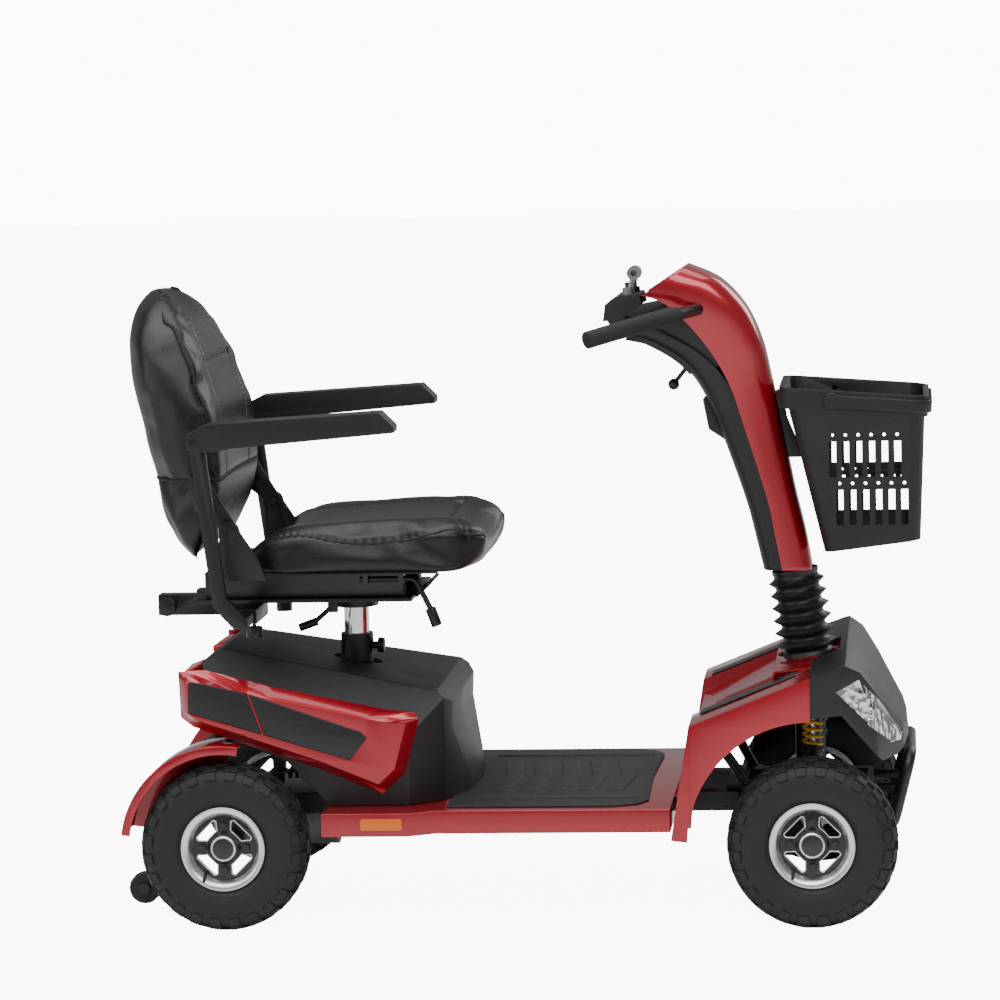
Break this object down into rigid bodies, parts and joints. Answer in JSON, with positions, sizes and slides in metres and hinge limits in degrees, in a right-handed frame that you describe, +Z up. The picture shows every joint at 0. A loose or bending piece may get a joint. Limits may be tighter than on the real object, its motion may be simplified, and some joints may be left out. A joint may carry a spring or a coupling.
{
  "type": "mobility scooter",
  "caption": "Four-wheel mobility scooter: swivelling padded seat with flip-up arms, raked tiller with basket, sprung front wheels and a flat foot deck.",
  "frame": {"origin": "on the ground, under the middle of the whole machine", "axes": "+X forward, +Y to the rider's left, +Z up"},
  "size_m": [1.2766, 0.5982, 1.007],
  "materials": {
    "frame_steel": "satin black powder coat",
    "bright_aluminium": "polished and clear-coated",
    "cast_case": "as cast, lightly tarnished",
    "case_plastic": "moulded, matt",
    "red_panel": "candy red, high gloss",
    "dark_panel": "fine leather grain, satin",
    "grey_insert": "woven pattern, semi-gloss",
    "mat_rubber": "ribbed, matt",
    "red_lens": "moulded lens",
    "amber_lens": "moulded lens",
    "clear_lens": "clear moulded lens",
    "chrome": "plated",
    "yellow_spring": "gloss powder coat",
    "boot_rubber": "satin",
    "tyre_rubber": "matt tread, satin walls",
    "grip_foam": "closed-cell foam",
    "black_plastic": "satin",
    "button_red": "gloss",
    "seat_vinyl": "grained black vinyl over foam",
    "arm_pad": "moulded black skin"
  },
  "bodies": {
    "chassis": {"chassis_frame": "frame_steel", "transaxle": "cast_case", "batteries": "case_plastic", "controller": "cast_case", "floor_pan": "red_panel", "foot_mat": "mat_rubber", "rear_cover": "dark_panel", "side_panels": "red_panel", "side_inserts": "grey_insert", "tail_lights": "red_lens", "rear_fenders": "red_panel", "side_reflectors": "amber_lens", "front_cowl": "red_panel", "cowl_strips": "grey_insert", "nose_cover": "dark_panel", "headlights": "clear_lens", "front_bumper": "frame_steel", "shock_dampers": "chrome", "spring_left": "yellow_spring", "spring_right": "yellow_spring"},
    "steering_column": {"steering_stem": "frame_steel", "column_boot": "boot_rubber"},
    "steering_rods": {"tie_rods": "frame_steel"},
    "tiller": {"tiller_front_cover": "red_panel", "tiller_rear_cover": "dark_panel", "tiller_tubes": "frame_steel", "hand_grips": "grip_foam", "console": "black_plastic", "basket": "black_plastic"},
    "dial": {"speed_dial": "black_plastic"},
    "horn": {"horn_button": "button_red"},
    "accessory": {"accessory_mount": "case_plastic"},
    "throttle": {"throttle_lever": "black_plastic"},
    "rake_lever": {"tilt_lever": "frame_steel"},
    "carry_handle": {"basket_handle": "black_plastic"},
    "post": {"seat_post": "chrome"},
    "swivel_base": {"seat_base": "frame_steel", "arm_supports": "frame_steel"},
    "swivel_handle": {"swivel_lever": "frame_steel"},
    "arm_left": {"armrest_left": "arm_pad"},
    "arm_right": {"armrest_right": "arm_pad"},
    "sliding_seat": {"seat_frame": "frame_steel", "seat_cushion": "seat_vinyl"},
    "slide_handle": {"slide_lever": "frame_steel"},
    "backrest": {"backrest_frame": "frame_steel", "backrest_pad": "seat_vinyl"},
    "rear_wheel_left": {"tyre_rear_left": "tyre_rubber", "rim_rear_left": "bright_aluminium"},
    "front_wheel_left": {"tyre_front_left": "tyre_rubber", "rim_front_left": "bright_aluminium"},
    "knuckle_left": {"knuckle_left": "frame_steel"},
    "arm_lower_left": {"suspension_arm_left": "frame_steel"},
    "anti_tip_left": {"anti_tip_wheel_left": "mat_rubber"},
    "rear_wheel_right": {"tyre_rear_right": "tyre_rubber", "rim_rear_right": "bright_aluminium"},
    "front_wheel_right": {"tyre_front_right": "tyre_rubber", "rim_front_right": "bright_aluminium"},
    "knuckle_right": {"knuckle_right": "frame_steel"},
    "arm_lower_right": {"suspension_arm_right": "frame_steel"},
    "anti_tip_right": {"anti_tip_wheel_right": "mat_rubber"}
  },
  "joints": [
    {"name": "rear_wheel_spin_left", "type": "hinge", "parent": "chassis", "child": "rear_wheel_left", "pos_m": [-0.4625, 0.257, 0.131], "axis": [0, 1, 0], "continuous": true},
    {"name": "suspension_left", "type": "hinge", "parent": "chassis", "child": "arm_lower_left", "pos_m": [0.4455, 0.075, 0.147], "axis": [1, 0, 0], "range_deg": [0, 3.5], "stiffness_Nm_per_rad": 500, "springref_deg": -7.45, "deforming": ["spring_left"]},
    {"name": "kingpin_left", "type": "hinge", "parent": "arm_lower_left", "child": "knuckle_left", "pos_m": [0.4455, 0.188, 0.12], "axis": [0, 0, 1], "range_deg": [-32, 32]},
    {"name": "front_wheel_spin_left", "type": "hinge", "parent": "knuckle_left", "child": "front_wheel_left", "pos_m": [0.4455, 0.257, 0.131], "axis": [0, 1, 0], "continuous": true},
    {"name": "anti_tip_spin_left", "type": "hinge", "parent": "chassis", "child": "anti_tip_left", "pos_m": [-0.6135, 0.15, 0.043], "axis": [0, 1, 0], "continuous": true},
    {"name": "rear_wheel_spin_right", "type": "hinge", "parent": "chassis", "child": "rear_wheel_right", "pos_m": [-0.4625, -0.257, 0.131], "axis": [0, 1, 0], "continuous": true},
    {"name": "suspension_right", "type": "hinge", "parent": "chassis", "child": "arm_lower_right", "pos_m": [0.4455, -0.075, 0.147], "axis": [-1, 0, 0], "range_deg": [0, 3.5], "stiffness_Nm_per_rad": 500, "springref_deg": -7.45, "deforming": ["spring_right"]},
    {"name": "kingpin_right", "type": "hinge", "parent": "arm_lower_right", "child": "knuckle_right", "pos_m": [0.4455, -0.188, 0.12], "axis": [0, 0, 1], "range_deg": [-32, 32]},
    {"name": "front_wheel_spin_right", "type": "hinge", "parent": "knuckle_right", "child": "front_wheel_right", "pos_m": [0.4455, -0.257, 0.131], "axis": [0, 1, 0], "continuous": true},
    {"name": "anti_tip_spin_right", "type": "hinge", "parent": "chassis", "child": "anti_tip_right", "pos_m": [-0.6135, -0.15, 0.043], "axis": [0, 1, 0], "continuous": true},
    {"name": "steer", "type": "hinge", "parent": "chassis", "child": "steering_column", "pos_m": [0.4355, 0, 0.28], "axis": [0, 0, 1], "range_deg": [-32, 32]},
    {"name": "steering_rod_pivot", "type": "hinge", "parent": "steering_column", "child": "steering_rods", "pos_m": [0.3755, 0, 0.092], "axis": [0, 0, 1], "range_deg": [-32, 32]},
    {"name": "tiller_tilt", "type": "hinge", "parent": "steering_column", "child": "tiller", "pos_m": [0.4355, 0, 0.405], "axis": [0, 1, 0], "range_deg": [-10, 15], "deforming": ["column_boot"]},
    {"name": "dial_turn", "type": "hinge", "parent": "tiller", "child": "dial", "pos_m": [0.1675, 0.024, 0.96146], "axis": [-0.0767, 0, 0.9971], "range_deg": [-135, 135]},
    {"name": "horn_press", "type": "slide", "parent": "tiller", "child": "horn", "axis": [0.0767, 0, -0.9971], "range_m": [0, 0.0015], "stiffness_N_per_m": 400},
    {"name": "accessory_swivel", "type": "hinge", "parent": "tiller", "child": "accessory", "pos_m": [0.1675, -0.046, 0.96146], "axis": [-0.0767, 0, 0.9971], "range_deg": [-90, 90]},
    {"name": "throttle_rock", "type": "hinge", "parent": "tiller", "child": "throttle", "pos_m": [0.1875, 0, 0.911], "axis": [0, 0, 1], "range_deg": [-12, 12], "stiffness_Nm_per_rad": 2},
    {"name": "rake_release", "type": "hinge", "parent": "tiller", "child": "rake_lever", "pos_m": [0.2615, 0, 0.852], "axis": [0, 1, 0], "range_deg": [0, 12], "stiffness_Nm_per_rad": 0.6, "springref_deg": -17.19},
    {"name": "handle_lift", "type": "hinge", "parent": "tiller", "child": "carry_handle", "pos_m": [0.4835, 0, 0.796], "axis": [0, -1, 0], "range_deg": [0, 95]},
    {"name": "seat_height", "type": "slide", "parent": "chassis", "child": "post", "axis": [0, 0, 1], "range_m": [0, 0.06]},
    {"name": "seat_swivel", "type": "hinge", "parent": "post", "child": "swivel_base", "pos_m": [-0.2845, 0, 0.48], "axis": [0, 0, 1], "range_deg": [-90, 90]},
    {"name": "swivel_release", "type": "hinge", "parent": "swivel_base", "child": "swivel_handle", "pos_m": [-0.3125, -0.055, 0.478], "axis": [0, 1, 0], "range_deg": [0, 12], "stiffness_Nm_per_rad": 0.6, "springref_deg": -17.19},
    {"name": "seat_slide", "type": "slide", "parent": "swivel_base", "child": "sliding_seat", "axis": [1, 0, 0], "range_m": [-0.03, 0.05]},
    {"name": "slide_release", "type": "hinge", "parent": "sliding_seat", "child": "slide_handle", "pos_m": [-0.2225, -0.15, 0.531], "axis": [-1, 0, 0], "range_deg": [0, 15], "stiffness_Nm_per_rad": 0.6, "springref_deg": -17.19},
    {"name": "backrest_fold", "type": "hinge", "parent": "sliding_seat", "child": "backrest", "pos_m": [-0.4485, 0, 0.617], "axis": [0, 1, 0], "range_deg": [0, 65]},
    {"name": "armrest_lift_left", "type": "hinge", "parent": "swivel_base", "child": "arm_left", "pos_m": [-0.4875, 0.265, 0.763], "axis": [0, -1, 0], "range_deg": [0, 95]},
    {"name": "armrest_lift_right", "type": "hinge", "parent": "swivel_base", "child": "arm_right", "pos_m": [-0.4875, -0.265, 0.763], "axis": [0, -1, 0], "range_deg": [0, 95]}
  ],
  "couplings": [
    {"joint": "kingpin_left", "follows": "steer", "ratio": 1},
    {"joint": "kingpin_right", "follows": "steer", "ratio": 1},
    {"joint": "steering_rod_pivot", "follows": "steer", "ratio": -1}
  ]
}
